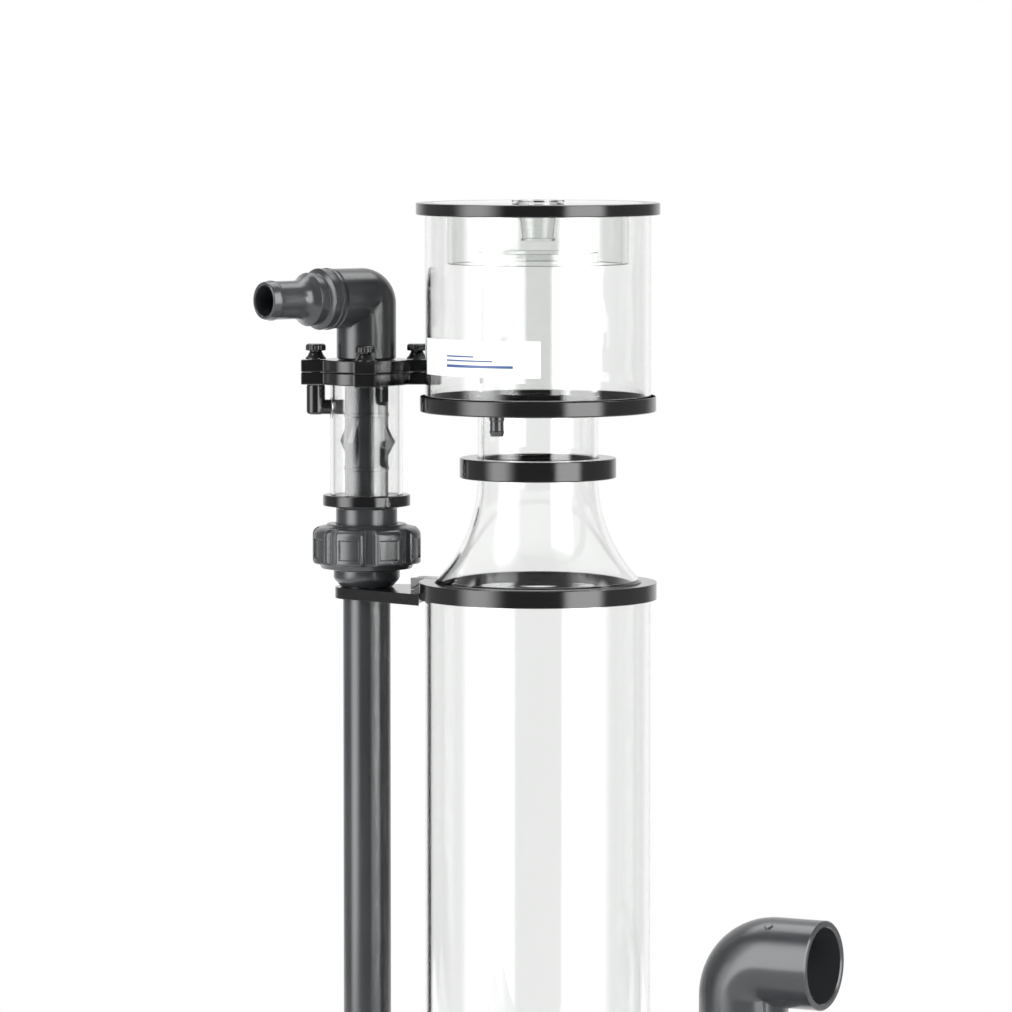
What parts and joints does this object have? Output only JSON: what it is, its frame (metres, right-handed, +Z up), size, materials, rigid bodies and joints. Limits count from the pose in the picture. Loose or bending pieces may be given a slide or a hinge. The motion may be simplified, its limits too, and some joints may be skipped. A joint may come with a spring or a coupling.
{
  "type": "protein skimmer",
  "caption": "Tall clear column skimmer with a lift-off foam cup on a flared neck, a venturi injector on its inlet pipe and a valved outlet riser with a swivelling elbow.",
  "frame": {"origin": "underside of the base plate, under the column's axis", "axes": "+Z up along the column, +X towards the outlet riser, -Y the side the valve handle faces"},
  "size_m": [0.394, 0.2, 0.9037],
  "materials": {
    "clear_acrylic": "clear polished acrylic",
    "black_acrylic": "black acrylic with polished edges",
    "grey_pvc": "moulded dark grey PVC",
    "ball_pvc": "polished grey PVC",
    "handle_plastic": "black moulded plastic",
    "seat_plastic": "white PTFE",
    "seal_rubber": "black rubber",
    "screw_nylon": "pale nylon",
    "label_film": "plain printed film"
  },
  "bodies": {
    "frame": {"column_tube": "clear_acrylic", "bell_reducer": "clear_acrylic", "chamber_tube": "clear_acrylic", "base_plate": "black_acrylic", "foot_ring": "black_acrylic", "top_ring": "black_acrylic", "neck_collar": "black_acrylic", "pipe_bracket": "black_acrylic", "chamber_flange": "black_acrylic", "seat_plate": "black_acrylic", "cap_plate": "black_acrylic", "air_elbow": "black_acrylic", "inlet_pipe": "grey_pvc", "union_tail": "grey_pvc", "union_head": "grey_pvc", "venturi_nozzle": "grey_pvc", "air_tube": "grey_pvc", "tail_elbow": "grey_pvc", "hose_tail": "grey_pvc", "inlet_elbow": "grey_pvc", "outlet_foot_elbow": "grey_pvc", "riser_lower": "grey_pvc", "riser_upper": "grey_pvc", "valve_body": "grey_pvc", "valve_end_upper": "grey_pvc", "valve_end_lower": "grey_pvc", "swirl_elbow": "grey_pvc", "inlet_nipple": "grey_pvc", "inlet_saddle": "grey_pvc", "outlet_nipple": "grey_pvc", "outlet_saddle": "grey_pvc", "valve_seat_upper": "seat_plastic", "valve_seat_lower": "seat_plastic", "neck_o_ring": "seal_rubber", "union_o_ring": "seal_rubber", "cap_o_ring": "seal_rubber", "foot_bolt_1": "screw_nylon", "foot_bolt_2": "screw_nylon", "foot_bolt_3": "screw_nylon", "foot_bolt_4": "screw_nylon", "bracket_screw": "screw_nylon"},
    "cup": {"neck_tube": "clear_acrylic", "cup_base": "black_acrylic", "cup_wall": "clear_acrylic", "cup_label": "label_film", "drain_nozzle": "grey_pvc"},
    "lid": {"lid_ring": "black_acrylic", "lid_disc": "clear_acrylic", "lid_sleeve": "clear_acrylic"},
    "stopper": {"lid_stopper": "clear_acrylic"},
    "right_thumb_screw": {"thumb_screw_right": "black_acrylic"},
    "back_thumb_screw": {"thumb_screw_back": "black_acrylic"},
    "front_thumb_screw": {"thumb_screw_front": "black_acrylic"},
    "air_screw": {"air_screw_left": "black_acrylic"},
    "union": {"union_nut": "grey_pvc"},
    "upper_valve_nut": {"valve_nut_upper": "grey_pvc"},
    "lower_valve_nut": {"valve_nut_lower": "grey_pvc"},
    "valve_handle": {"valve_handle": "handle_plastic", "valve_ball": "ball_pvc"},
    "outlet": {"outlet_elbow": "grey_pvc"}
  },
  "joints": [
    {"name": "cup_lift", "type": "slide", "parent": "frame", "child": "cup", "axis": [0, 0, 1], "range_m": [0, 0.06]},
    {"name": "lid_lift", "type": "slide", "parent": "cup", "child": "lid", "axis": [0, 0, 1], "range_m": [0, 0.06]},
    {"name": "stopper_lift", "type": "slide", "parent": "lid", "child": "stopper", "axis": [0, 0, 1], "range_m": [0, 0.04]},
    {"name": "right_thumb_screw_turn", "type": "hinge", "parent": "frame", "child": "right_thumb_screw", "pos_m": [-0.08098, 0.05509, 0.8], "axis": [0, 0, 1], "continuous": true},
    {"name": "back_thumb_screw_turn", "type": "hinge", "parent": "frame", "child": "back_thumb_screw", "pos_m": [-0.11498, 0.08909, 0.8], "axis": [0, 0, 1], "continuous": true},
    {"name": "front_thumb_screw_turn", "type": "hinge", "parent": "frame", "child": "front_thumb_screw", "pos_m": [-0.11498, 0.02109, 0.8], "axis": [0, 0, 1], "continuous": true},
    {"name": "air_screw_turn", "type": "hinge", "parent": "frame", "child": "air_screw", "pos_m": [-0.14898, 0.05509, 0.8], "axis": [0, 0, 1], "continuous": true},
    {"name": "union_turn", "type": "hinge", "parent": "frame", "child": "union", "pos_m": [-0.11498, 0.05509, 0.67], "axis": [0, 0, 1], "continuous": true},
    {"name": "upper_valve_nut_turn", "type": "hinge", "parent": "frame", "child": "upper_valve_nut", "pos_m": [0.1376, 0, 0.256], "axis": [0, 0, 1], "continuous": true},
    {"name": "lower_valve_nut_turn", "type": "hinge", "parent": "frame", "child": "lower_valve_nut", "pos_m": [0.1376, 0, 0.196], "axis": [0, 0, 1], "continuous": true},
    {"name": "valve_turn", "type": "hinge", "parent": "frame", "child": "valve_handle", "pos_m": [0.1376, 0, 0.226], "axis": [0, 1, 0], "range_deg": [0, 90]},
    {"name": "outlet_turn", "type": "hinge", "parent": "frame", "child": "outlet", "pos_m": [0.1376, 0, 0.35], "axis": [0, 0, 1], "range_deg": [-90, 120]}
  ]
}
